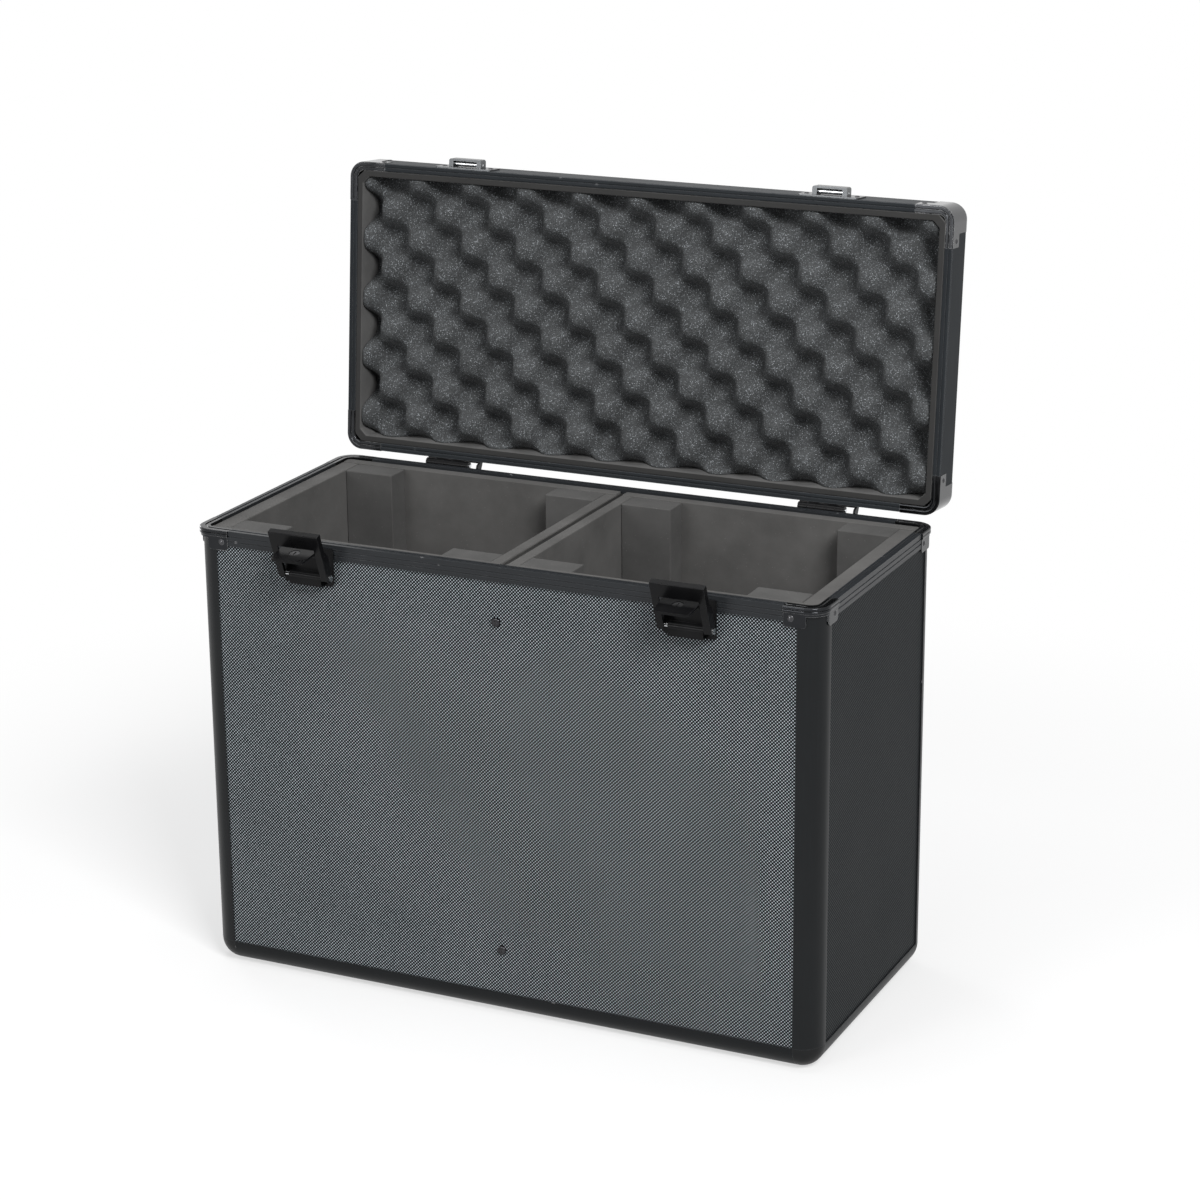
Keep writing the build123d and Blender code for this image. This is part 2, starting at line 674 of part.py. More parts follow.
def make_hinges():
    """Two knuckle hinges on the back, each with a stop blade beside it."""
    segment = (hinge_width - (knuckle_count - 1) * knuckle_gap) / knuckle_count
    face = half_d + lid_proud + leaf_clearance
    leaf_back = face + leaf_thickness
    pins = []
    body_rivets = []
    lid_rivets = []
    for name, centre in zip(("left", "right"), hinge_centres):
        left = centre - hinge_width / 2
        wide = centre + stop_offset + stop_thickness
        low = body_height - body_leaf_drop
        high = lid_bottom + lid_leaf_rise
        body_leaf = block(left, wide, face, leaf_back, low, body_height - 1.2)
        lid_leaf = block(left, wide, face, leaf_back, lid_bottom + 1.2, high)
        packing = block(left + 3, wide - 3, half_d - panel_recess + 0.05, face, low + 1, rim_bottom - 0.3)
        body_leaf += packing
        for index in range(knuckle_count):
            x0 = left + index * (segment + knuckle_gap)
            x1 = x0 + segment
            barrel = Pos((x0 + x1) / 2, hinge_y, hinge_z) * Rot(0, 90, 0) * Cylinder(knuckle_radius, segment)
            if index % 2 == 0:
                body_leaf += barrel + block(x0, x1, face, hinge_y, hinge_z - 6, hinge_z - 1.5)
            else:
                lid_leaf += barrel + block(x0, x1, face, hinge_y, hinge_z + 1.5, hinge_z + 6)
        bore = Pos(centre, hinge_y, hinge_z) * Rot(0, 90, 0)
        bore = bore * Cylinder(hinge_pin_radius + hinge_pin_clearance, hinge_width + 4)
        clear = knuckle_radius + knuckle_gap
        for index in range(knuckle_count):
            x0 = left + index * (segment + knuckle_gap) - knuckle_gap
            x1 = x0 + segment + 2 * knuckle_gap
            room = Pos((x0 + x1) / 2, hinge_y, hinge_z) * Rot(0, 90, 0) * Cylinder(clear, x1 - x0)
            if index % 2 == 0:
                lid_leaf -= room
            else:
                body_leaf -= room
        body_leaf -= bore
        lid_leaf -= bore
        pins.append(Pos(centre, hinge_y, hinge_z) * Rot(0, 90, 0) * Cylinder(hinge_pin_radius, hinge_width + 2))
        lid_leaf_open = lid_open * lid_leaf + Pos(centre + stop_offset, hinge_y, hinge_z) * stop_blade()
        for dx in (-13.0, 0.0, 13.0):
            place = Pos(centre + dx, leaf_back, low + 8) * Rot(-90, 0, 0)
            body_leaf -= place * Cylinder(rivet_shank_radius + rivet_clearance, 3 * leaf_thickness + 6)
            body_rivets.append(place * dome_rivet(leaf_thickness + lid_proud))
        for dx in (-13.0, 13.0):
            place = Pos(centre + dx, leaf_back, high - 7) * Rot(-90, 0, 0)
            hole = lid_open * place * Cylinder(rivet_shank_radius + rivet_clearance, 3 * leaf_thickness)
            lid_leaf_open -= hole
            lid_rivets.append(lid_open * place * dome_rivet(leaf_thickness - 0.05))
        save(body_leaf, f"hinge_body_leaf_{name}")
        save(lid_leaf_open, f"hinge_lid_leaf_{name}")
    save(group(pins), "hinge_pins")
    return body_rivets, lid_rivets


def latch_frame_upright():
    """The hook frame as it stands on a shut case, about its pin at the origin."""
    front = -frame_front_offset
    half = latch_width / 2
    side = Polyline(
        (front, frame_top),
        (front, 0.0),
        (frame_leg_back, 0.0),
        (frame_leg_back, frame_step_low),
        (frame_top_back, frame_step_high),
        (frame_top_back, frame_top),
        close=True,
    )
    cheek = extrude(make_face(Plane.YZ * side), frame_sheet)
    cheek += Pos(frame_sheet / 2, 0, 0) * Rot(0, 90, 0) * Cylinder(frame_leg_back, frame_sheet)
    frame = Pos(-half, 0, 0) * cheek + Pos(half - frame_sheet, 0, 0) * cheek
    plate = block(-half, half, front, front + frame_sheet, 0.0, frame_top)
    plate -= block(-frame_window_half, frame_window_half, front - 1, 0, -5, frame_top - frame_bar_height)
    frame += plate
    frame += block(-half, half, front, frame_top_back, frame_top - frame_sheet, frame_top)
    outer_edges = frame.edges().filter_by(Axis.X).group_by(Axis.Z)[-1].sort_by(Axis.Y)[0:1]
    frame = fillet(outer_edges, 0.8)
    frame -= Rot(0, 90, 0) * Cylinder(latch_pin_radius + latch_pin_clearance, latch_width + 10)
    axle_hole = Pos(0, -lever_axle_offset, lever_axle_height) * Rot(0, 90, 0)
    return frame - axle_hole * Cylinder(lever_axle_radius + latch_pin_clearance, latch_width + 10)


def latch_lever_folded():
    """The flap lever and its lock barrel, folded flat in the frame's window."""
    half = lever_width / 2
    front = -frame_front_offset
    back = front + lever_thickness
    axle = (-lever_axle_offset, lever_axle_height)
    top = axle[1] + 0.6
    outline = Polyline((-half, top), (half, top), (half - 1.6, lever_tip), (-half + 1.6, lever_tip), close=True)
    plate = extrude(make_face(Plane.XZ * outline), lever_thickness, dir=(0, -1, 0))
    plate = Pos(0, back, 0) * plate
    plate = fillet(plate.edges().filter_by(Axis.Y).group_by(Axis.Z)[0], 2.5)
    barrel = Pos(0, axle[0], axle[1]) * Rot(0, 90, 0) * Cylinder(lever_barrel_radius, lever_width - 0.6)
    neck = block(-half + 0.3, half - 0.3, front + 0.3, axle[0], axle[1] - 2.0, axle[1] + 1.5)
    rod_length = latch_width - 2 * 0.2
    rod_bar = Pos(0, axle[0], axle[1]) * Rot(0, 90, 0) * Cylinder(lever_axle_radius, rod_length)
    lever = plate + barrel + neck
    lock_z = axle[1] - lock_drop
    hole = Pos(0, front, lock_z) * Rot(90, 0, 0)
    lever -= hole * Cylinder(lock_radius + lock_clearance, 3 * lever_thickness)
    lock = Pos(0, front + 1.3, lock_z) * Rot(90, 0, 0) * Cylinder(lock_radius, 2.0)
    lock = fillet(lock.edges().group_by(Axis.Y)[0], 0.4)
    lock -= Pos(0, front, lock_z) * Box(lock_slot[1], 2.0, lock_slot[0])
    return lever + rod_bar, lock


def make_latches():
    """Two lever latches on the front, standing open as in the photograph."""
    pins = []
    rivets = []
    lean = Rot(latch_rest_lean, 0, 0)
    swing = Pos(0, -lever_axle_offset, lever_axle_height) * Rot(-lever_rest_open, 0, 0)
    swing = swing * Pos(0, lever_axle_offset, -lever_axle_height)
    face = front_face - rim_proud - leaf_clearance
    plate_front = face - latch_plate
    low = body_height - latch_base_bottom_drop
    high = body_height - latch_base_top_drop
    half = latch_width / 2
    for name, centre in zip(("left", "right"), latch_centres):
        axis = Pos(centre, latch_pin_y, latch_pin_z)
        base = block(centre - half, centre + half, plate_front, face, low, high)
        base = fillet(base.edges().filter_by(Axis.Y), 2.5)
        packing_face = front_face + panel_recess - 0.05
        base += block(centre - half + 3, centre + half - 3, face, packing_face, low + 1, rim_bottom - 0.3)
        boss_low = latch_pin_z - boss_drop
        x0 = centre - boss_half_width
        x1 = centre + boss_half_width
        base += block(x0, x1, plate_front, latch_pin_y, boss_low, latch_pin_z + boss_radius)
        base += block(x0, x1, plate_front, latch_pin_y - boss_radius + 0.6, boss_low, latch_pin_z)
        base += axis * Rot(0, 90, 0) * Cylinder(boss_radius, 2 * boss_half_width)
        base -= axis * Rot(0, 90, 0) * Cylinder(latch_pin_radius + latch_pin_clearance, latch_width)
        for dx in (-12.0, 12.0):
            place = Pos(centre + dx, plate_front, high - 8) * Rot(90, 0, 0)
            base -= place * Cylinder(rivet_shank_radius + rivet_clearance, 2 * latch_plate + 1)
            rivets.append(place * dome_rivet(latch_plate - 0.05))
        save(base, f"latch_base_{name}")
        save(axis * lean * latch_frame_upright(), f"latch_frame_{name}")
        lever, lock = latch_lever_folded()
        save(axis * lean * swing * lever, f"latch_lever_{name}")
        save(axis * lean * swing * lock, f"latch_lock_{name}")
        save(axis * lean * latch_spring_upright(), f"latch_spring_{name}")
        reach = half + latch_pin_head_clearance
        pin = Cylinder(latch_pin_radius, 2 * (reach + latch_pin_head))
        for end in (-1, 1):
            head = Cylinder(latch_pin_head_radius, latch_pin_head)
            pin += Pos(0, 0, end * (reach + latch_pin_head / 2)) * head
        pins.append(axis * Rot(0, 90, 0) * pin)
    save(group(pins), "latch_pins")
    return rivets


def latch_spring_upright():
    """The bent wire beside the lever, carried by the frame."""
    anchor = latch_width / 2 - frame_sheet - 0.1
    points = [
        (anchor, spring_y, spring_top),
        (spring_x, spring_y, spring_top),
        (spring_x, spring_y, (spring_top + spring_low) / 2),
        (spring_x + 0.6, spring_y + 0.9, spring_low),
    ]
    path = FilletPolyline(*points, radius=(1.6, 2.5))
    return sweep(Plane(origin=points[0], z_dir=path % 0) * Circle(spring_wire_radius), path=path)


def make_catches():
    """Two catches on the lid's front edge, each with a bridge and a roller."""
    rivets = []
    rollers = []
    face = front_face - lid_proud
    plate_front = face - catch_plate
    top_face = face - bridge_stand
    low = lid_bottom + catch_bottom
    for name, centre in zip(("left", "right"), latch_centres):
        half = catch_width / 2
        plate = block(centre - half, centre + half, plate_front, face - 0.05, low, low + catch_height)
        plate = fillet(plate.edges().filter_by(Axis.Y), 2.0)
        z0 = lid_bottom + bridge_bottom
        z1 = z0 + bridge_height
        bridge_half = bridge_width / 2
        bridge = block(centre - bridge_half, centre + bridge_half, top_face, face - 0.05, z0, z1)
        bridge = fillet(bridge.edges().filter_by(Axis.Z).group_by(Axis.Y)[0], 2.0)
        inside = bridge_half - bridge_cheek
        bridge -= block(
            centre - inside, centre + inside, top_face + bridge_wall, plate_front, z0 - 1, z1 + 1
        )
        roller_y = plate_front - roller_clearance - roller_radius
        roller_z = (z0 + z1) / 2
        catch = plate + bridge
        spin = Pos(centre, roller_y, roller_z) * Rot(0, 90, 0)
        catch -= spin * Cylinder(roller_axle_radius + latch_pin_clearance, bridge_width + 4)
        roller = spin * Cylinder(roller_radius, 2 * inside - 0.6)
        roller += spin * Cylinder(roller_axle_radius, bridge_width - 0.4)
        rollers.append(lid_open * roller)
        for dx in (-22.5, 22.5):
            place = Pos(centre + dx, plate_front, low + catch_height / 2) * Rot(90, 0, 0)
            catch -= place * Cylinder(rivet_shank_radius + rivet_clearance, 2 * catch_plate + 1)
            rivets.append(lid_open * place * dome_rivet(catch_plate - 0.1))
        save(lid_open * catch, f"catch_{name}")
    save(group(rollers), "catch_rollers")
    return rivets


def make_handle():
    """A folding carrying handle on the lid's outer face."""
    face = lid_top - panel_recess
    pivot_y = -handle_back_offset
    pivot_z = face + handle_barrel_height
    brackets = []
    for side in (-1, 1):
        centre = side * handle_pivot_half
        half = handle_bracket_width / 2
        depth = handle_bracket_depth / 2
        plate = block(centre - half, centre + half, pivot_y - depth, pivot_y + depth, face, face + handle_bracket_plate)
        plate = fillet(plate.edges().filter_by(Axis.Z), 4.0)
        barrel = Pos(centre, pivot_y, pivot_z) * Rot(0, 90, 0)
        bracket = plate + barrel * Cylinder(handle_barrel_radius, handle_bracket_width)
        bracket += block(
            centre - half,
            centre + half,
            pivot_y - handle_barrel_radius,
            pivot_y + handle_barrel_radius,
            face,
            pivot_z,
        )
        bore = Cylinder(handle_rod_radius + handle_rod_clearance, handle_bracket_width + 2)
        brackets.append(lid_open * (bracket - barrel * bore))
    save(group(brackets), "handle_brackets")
    end = handle_pivot_half + handle_bracket_width / 2 - 1.0
    reach = pivot_y + handle_reach
    points = [
        (-end, pivot_y, pivot_z),
        (-handle_arm_half, pivot_y, pivot_z),
        (-handle_arm_half, reach, pivot_z),
        (handle_arm_half, reach, pivot_z),
        (handle_arm_half, pivot_y, pivot_z),
        (end, pivot_y, pivot_z),
    ]
    path = FilletPolyline(*points, radius=handle_bend_radii)
    bail = sweep(Plane(origin=points[0], z_dir=path % 0) * Circle(handle_rod_radius), path=path)
    grip = Pos(0, reach, pivot_z) * Rot(0, 90, 0) * Cylinder(grip_radius, 2 * grip_half_length)
    grip = fillet(grip.edges(), 3.0)
    bore = Cylinder(handle_rod_radius + grip_clearance, 2 * grip_half_length + 2)
    grip -= Pos(0, reach, pivot_z) * Rot(0, 90, 0) * bore
    hang = Pos(0, pivot_y, pivot_z) * Rot(open_angle - 90, 0, 0) * Pos(0, -pivot_y, -pivot_z)
    save(lid_open * hang * bail, "handle_bail")
    save(lid_open * hang * grip, "handle_grip")
    pivot = lid_open * Pos(0, pivot_y, pivot_z)
    return pivot.position


make_panels()
make_profiles()
make_rim()
make_divider()
make_bays()
lid_corner_rivets = make_lid()
hinge_body_rivets, hinge_lid_rivets = make_hinges()
latch_rivets = make_latches()
catch_rivets = make_catches()
handle_pivot = make_handle()
save(group(hinge_body_rivets + latch_rivets), "body_rivets")
save(group(lid_corner_rivets + hinge_lid_rivets + catch_rivets), "lid_rivets")

lever_axle = Pos(0, latch_pin_y, latch_pin_z) * Rot(latch_rest_lean, 0, 0)
lever_axle = (lever_axle * Pos(0, -lever_axle_offset, lever_axle_height)).position
print("hinge axis at", (0, round(hinge_y, 3), round(hinge_z, 3)))
print("latch pin axis at", (0, round(latch_pin_y, 3), round(latch_pin_z, 3)))
print("lever axle at", tuple(round(v, 3) for v in lever_axle))
print("handle pivot at", tuple(round(v, 3) for v in handle_pivot))
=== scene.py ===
import json
import math
import random

import bmesh
import bpy
from mathutils import Matrix, Vector, noise


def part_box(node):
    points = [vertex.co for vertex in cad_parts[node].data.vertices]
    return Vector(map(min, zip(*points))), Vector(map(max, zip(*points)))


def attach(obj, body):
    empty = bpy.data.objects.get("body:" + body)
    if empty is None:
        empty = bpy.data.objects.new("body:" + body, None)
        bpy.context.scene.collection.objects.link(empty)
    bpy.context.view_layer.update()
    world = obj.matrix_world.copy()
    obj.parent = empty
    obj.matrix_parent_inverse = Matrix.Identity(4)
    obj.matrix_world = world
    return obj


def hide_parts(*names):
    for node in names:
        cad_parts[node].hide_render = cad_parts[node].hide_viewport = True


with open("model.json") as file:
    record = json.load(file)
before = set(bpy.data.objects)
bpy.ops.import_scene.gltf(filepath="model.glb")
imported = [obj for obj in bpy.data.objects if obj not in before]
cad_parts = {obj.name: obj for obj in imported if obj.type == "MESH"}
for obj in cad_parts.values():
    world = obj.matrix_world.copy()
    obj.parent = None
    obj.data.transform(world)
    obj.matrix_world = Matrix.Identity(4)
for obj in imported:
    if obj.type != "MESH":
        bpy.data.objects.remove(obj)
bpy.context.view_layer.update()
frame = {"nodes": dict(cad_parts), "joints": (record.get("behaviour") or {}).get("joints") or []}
nodes = frame["nodes"]
joints = {joint["name"]: joint for joint in frame["joints"]}
rng = random.Random(11)
MM = 0.001
along_x, along_y, along_z = (1, 0, 0), (0, 1, 0), (0, 0, 1)

# At rest the lid stands open. lid_open moves a point of the shut lid there, and lid_shut back.
hinge_at = Vector(joints["lid_hinge"]["pos_m"])
open_angle = math.radians(abs(joints["lid_hinge"]["range_deg"][0]))
opening = Matrix.Rotation(-open_angle, 4, "X")
lid_open = Matrix.Translation(hinge_at) @ opening @ Matrix.Translation(-hinge_at)
lid_shut = lid_open.inverted()


# Camera, found from the straight edges of the case in the photograph

photo_width_px = 1200
sensor_width_mm = 36.0
view_clip_end = 50
view_azimuth = math.radians(25.255)
view_elevation = math.radians(17.772)
view_roll = math.radians(-0.482)
view_distance = 2.70887
view_shift_right = 0.02856
view_shift_up = 0.12061
view_focal_px = 3187.2
view_target = Vector((0, 0, 0.2))


def make_camera():
    """A long lens, a little above the case and to its right."""
    az, el, roll = view_azimuth, view_elevation, view_roll
    back = Vector((math.sin(az) * math.cos(el), -math.cos(az) * math.cos(el), math.sin(el)))
    level = Vector((math.cos(az), math.sin(az), 0))
    lift = back.cross(level)
    right = level * math.cos(roll) + lift * math.sin(roll)
    up = -level * math.sin(roll) + lift * math.cos(roll)
    data = bpy.data.cameras.new("camera")
    data.sensor_width = sensor_width_mm
    data.lens = view_focal_px / photo_width_px * sensor_width_mm
    data.clip_end = view_clip_end
    camera = bpy.data.objects.new("camera", data)
    turn = Matrix((right, up, back)).transposed().to_4x4()
    place = view_target + back * view_distance + right * view_shift_right + up * view_shift_up
    camera.matrix_world = Matrix.Translation(place) @ turn
    bpy.context.scene.collection.objects.link(camera)
    bpy.context.scene.camera = camera


# Node helpers

# Nearly all values of a noise texture lie between these two.
noise_low, noise_high = 0.3, 0.7
# The cosine between the true normal and the rounded one: on a flat, and on a sharp edge.
flat_cosine, sharp_cosine = 0.985, 0.80
bevel_samples = 4
# A mix node's sockets for colours: the factor, the two colours, and the result.
mix_inputs = (0, 6, 7)
mix_output = 2


def scaled(color, factor):
    """A colour times a factor."""
    return tuple(factor * part for part in color)


class Tree:
    """A material under construction."""

    def __init__(self, name):
        self.material = bpy.data.materials.new(name)
        self.material.use_nodes = True
        self.nodes = self.material.node_tree.nodes
        self.links = self.material.node_tree.links
        self.shader = self.nodes["Principled BSDF"]
        self.place = self.add("ShaderNodeTexCoord").outputs["Object"]

    def add(self, kind, **settings):
        """A new node with these settings."""
        node = self.nodes.new(kind)
        for key, value in settings.items():
            setattr(node, key, value)
        return node

    def put(self, value, socket):
        """Sets a socket to a value or links it to another socket."""
        if isinstance(value, bpy.types.NodeSocket):
            self.links.new(value, socket)
        else:
            socket.default_value = value

    def put_color(self, value, socket):
        """Like put, but a value may also be a colour of three numbers."""
        self.put((*value, 1.0) if isinstance(value, tuple) else value, socket)

    def math(self, operation, *values):
        """The result of one arithmetic operation."""
        node = self.add("ShaderNodeMath", operation=operation)
        for value, socket in zip(values, node.inputs):
            self.put(value, socket)
        return node.outputs[0]

    def times(self, first, second):
        """The product of two numbers."""
        return self.math("MULTIPLY", first, second)

    def dot(self, first, second):
        """The dot product of two vectors."""
        node = self.add("ShaderNodeVectorMath", operation="DOT_PRODUCT")
        for value, socket in zip((first, second), node.inputs):
            self.put(value, socket)
        return node.outputs["Value"]

    def noise(self, scale, detail=2.0, rough=0.5, stretch=(1, 1, 1)):
        """Noise in the object's own coordinates. A small stretch draws it out along that axis."""
        mapping = self.add("ShaderNodeMapping")
        self.links.new(self.place, mapping.inputs["Vector"])
        mapping.inputs["Scale"].default_value = stretch
        node = self.add("ShaderNodeTexNoise")
        self.links.new(mapping.outputs[0], node.inputs["Vector"])
        node.inputs["Scale"].default_value = scale
        node.inputs["Detail"].default_value = detail
        node.inputs["Roughness"].default_value = rough
        return node.outputs["Fac"]

    def cells(self, scale):
        """Random cells, with their distance and colour outputs."""
        node = self.add("ShaderNodeTexVoronoi")
        self.links.new(self.place, node.inputs["Vector"])
        node.inputs["Scale"].default_value = scale
        return node.outputs

    def chance(self, first, second):
        """A random number for each pair of whole numbers."""
        pair = self.add("ShaderNodeCombineXYZ")
        self.put(first, pair.inputs["X"])
        self.put(second, pair.inputs["Y"])
        node = self.add("ShaderNodeTexWhiteNoise", noise_dimensions="3D")
        self.links.new(pair.outputs[0], node.inputs["Vector"])
        return node.outputs["Value"]

    def span(self, value, low, high, to_low=0.0, to_high=1.0):
        """Maps a value from one range to another, and keeps it inside."""
        node = self.add("ShaderNodeMapRange", clamp=True)
        for number, socket in zip((value, low, high, to_low, to_high), node.inputs):
            self.put(number, socket)
        return node.outputs[0]

    def vary(self, value, to_low=0.0, to_high=1.0):
        """Maps what a noise texture gives to a range."""
        return self.span(value, noise_low, noise_high, to_low, to_high)

    def blend(self, factor, first, second):
        """A mix of two colours."""
        node = self.add("ShaderNodeMix", data_type="RGBA")
        for value, index in zip((factor, first, second), mix_inputs):
            self.put_color(value, node.inputs[index])
        return node.outputs[mix_output]

    def mottle(self, value, first, second):
        """Two colours mixed by a noise texture."""
        return self.blend(self.vary(value), first, second)

    def cover(self, base, where, amount, color):
        """Lays a colour over the base where a mask says, and by an amount."""
        return self.blend(self.times(where, amount), base, color)

    def bump(self, height, distance, strength, after=None):
        """A normal for this height, on top of another bump."""
        node = self.add("ShaderNodeBump")
        node.inputs["Strength"].default_value = strength
        node.inputs["Distance"].default_value = distance
        self.put(height, node.inputs["Height"])
        if after:
            self.links.new(after, node.inputs["Normal"])
        return node.outputs[0]

    def edge(self, width):
        """One on sharp edges, nought elsewhere."""
        bevel = self.add("ShaderNodeBevel", samples=bevel_samples)
        bevel.inputs["Radius"].default_value = width
        geometry = self.add("ShaderNodeNewGeometry")
        cosine = self.dot(bevel.outputs[0], geometry.outputs["Normal"])
        return self.span(cosine, flat_cosine, sharp_cosine)

    def finish(self, **values):
        """Sets the shader's inputs and gives back the material."""
        names = {
            "color": "Base Color", "metal": "Metallic", "rough": "Roughness",
            "normal": "Normal", "shine": "Specular IOR Level",
            "sheen": "Sheen Weight", "sheen_rough": "Sheen Roughness",
        }
        for key, value in values.items():
            self.put_color(value, self.shader.inputs[names[key]])
        return self.material


# Materials. Noise scales are per metre.

dot_pitch = 2.05 * MM
dot_radius = 0.54 * MM
dot_spread = 0.02
dot_blur = 0.20 * MM
dot_metal = 0.12
dot_polish = 0.08
dot_cool = (0.46, 0.54, 0.57)
dot_warm = (0.52, 0.555, 0.60)
dot_pale = (0.68, 0.73, 0.76)
dot_smudged = (0.16, 0.17, 0.18)
film_dark = (0.0040, 0.0045, 0.0050)
film_light = (0.0065, 0.0072, 0.0080)


def laminate(name, across, along, painted_light_level=1.0):
    """Black film printed with staggered silver dots.

    across and along are the panel's own directions. The dots' square grid is turned 45 degrees.
    The last argument dims the dots' colours as painted shade, for panels that face away from the
    light.
    """
    tree = Tree(name)
    split = [tree.dot(tree.place, direction) for direction in (across, along)]
    squares = []
    indices = []
    for operation in ("ADD", "SUBTRACT"):
        steps = tree.math("DIVIDE", tree.math(operation, *split), dot_pitch * math.sqrt(2))
        indices.append(tree.math("FLOOR", steps))
        from_middle = tree.math("SUBTRACT", tree.math("FRACT", steps), 0.5)
        offset = tree.times(from_middle, dot_pitch)
        squares.append(tree.times(offset, offset))
    away = tree.math("SQRT", tree.math("ADD", *squares))
    luck = tree.chance(*indices)
    size = tree.span(luck, 0, 1, dot_radius * (1 - dot_spread), dot_radius * (1 + dot_spread))
    dots = tree.span(tree.math("SUBTRACT", away, size), -dot_blur, dot_blur, 1.0, 0.0)
    grain = tree.noise(scale=1800)
    smudge = tree.noise(scale=9, detail=3, rough=0.6)
    # The dots' colours, dimmed by the painted shade level.
    cool, warm, pale = (scaled(color, painted_light_level) for color in (dot_cool, dot_warm, dot_pale))
    tint = tree.blend(tree.chance(indices[1], indices[0]), cool, warm)
    silver = tree.cover(tint, luck, 0.25, pale)
    silver = tree.blend(tree.span(smudge, 0.35, 0.75, to_high=0.16), silver, dot_smudged)
    black = tree.mottle(grain, film_dark, film_light)
    dull = tree.span(smudge, 0.25, 0.75, 0.56, 0.64)
    rough = tree.math("ADD", dull, tree.times(dots, -dot_polish))
    normal = tree.bump(dots, 0.03 * MM, 0.25, tree.bump(grain, 0.012 * MM, 0.4))
    color = tree.blend(dots, black, silver)
    metal = tree.times(dots, dot_metal)
    return tree.finish(color=color, metal=metal, rough=rough, normal=normal, shine=0.05)


# The colour of a painted highlight along sharp edges and ridges.
ridge_highlight_grey = (0.105, 0.110, 0.116)
worn_metal = (0.30, 0.30, 0.31)
bare_metal = (0.45, 0.45, 0.46)


def anodised(name, shade, grain_axis, rough=0.42, shine=0.25, ridge_highlight=0.35):
    """Matte black anodised aluminium, drawn along one axis, with chips and wear on its edges.

    A painted highlight lightens its sharp edges toward ridge grey, by the ridge amount.
    """
    tree = Tree(name)
    stretch = tuple(0.02 if axis == grain_axis else 1.0 for axis in "XYZ")
    lines = tree.noise(scale=900, detail=3, rough=0.6, stretch=stretch)
    cloud = tree.noise(scale=14, detail=3, rough=0.6)
    sand = tree.noise(scale=2600, detail=1)
    worn_places = tree.span(tree.noise(scale=60, detail=4, rough=0.7), 0.52, 0.75)
    wear = tree.times(tree.edge(0.5 * MM), worn_places)
    chip_places = tree.span(tree.cells(55)["Distance"], 0.10, 0.06)
    chips = tree.times(chip_places, tree.edge(1.6 * MM))
    base = tree.mottle(cloud, shade, scaled(shade, 1.25))
    base = tree.cover(base, tree.span(lines, 0.55, 0.75), 0.25, scaled(shade, 2.2))
    # Painted highlight along the sharp edges and ridges.
    base = tree.cover(base, tree.edge(0.6 * MM), ridge_highlight, ridge_highlight_grey)
    base = tree.cover(base, wear, 0.30, worn_metal)
    base = tree.cover(base, chips, 0.6, bare_metal)
    drawn = tree.vary(lines, rough - 0.05, rough + 0.05)
    roughness = tree.math("ADD", drawn, tree.times(wear, -0.1))
    normal = tree.bump(lines, 0.01 * MM, 0.35, tree.bump(sand, 0.012 * MM, 0.5))
    return tree.finish(color=base, rough=roughness, normal=normal, shine=shine)


def plated(name, shade, rough, scratches=0.5, bright=0.25, edge=0.35 * MM):
    """Black nickel or zinc plate, with fine scratches and handling marks.

    bright is what its edges, of this width, add to the shade: partly wear, and partly a painted
    highlight.
    """
    tree = Tree(name)
    scuff = tree.noise(scale=1100, detail=4, rough=0.65, stretch=(1, 0.08, 0.5))
    cloud = tree.noise(scale=35, detail=4, rough=0.6)
    worn_places = tree.span(tree.noise(scale=90, detail=4, rough=0.7), 0.38, 0.60)
    wear = tree.times(tree.edge(edge), worn_places)
    base = tree.mottle(cloud, shade, scaled(shade, 1.35))
    # Lighter edges: wear, and on the nickel corners also a painted highlight.
    base = tree.cover(base, wear, 0.5, tuple(part + bright for part in shade))
    roughness = tree.vary(cloud, rough - 0.04, rough + 0.06)
    normal = tree.bump(scuff, 0.01 * MM, scratches)
    return tree.finish(color=base, metal=1.0, rough=roughness, normal=normal)


rubbed_paint = (0.13, 0.13, 0.135)


def painted(name, shade, rough):
    """Black powder paint on steel, with a fine orange peel and rubbed edges."""
    tree = Tree(name)
    peel = tree.noise(scale=1500)
    cloud = tree.noise(scale=50, detail=3)
    rubbed_places = tree.span(tree.noise(scale=110, detail=4, rough=0.7), 0.42, 0.7)
    wear = tree.times(tree.edge(0.35 * MM), rubbed_places)
    base = tree.mottle(cloud, shade, scaled(shade, 1.4))
    base = tree.cover(base, wear, 0.5, rubbed_paint)
    roughness = tree.vary(cloud, rough - 0.05, rough + 0.06)
    normal = tree.bump(peel, 0.02 * MM, 0.5)
    return tree.finish(color=base, rough=roughness, normal=normal, shine=0.12)


dust_grey = (0.30, 0.29, 0.28)


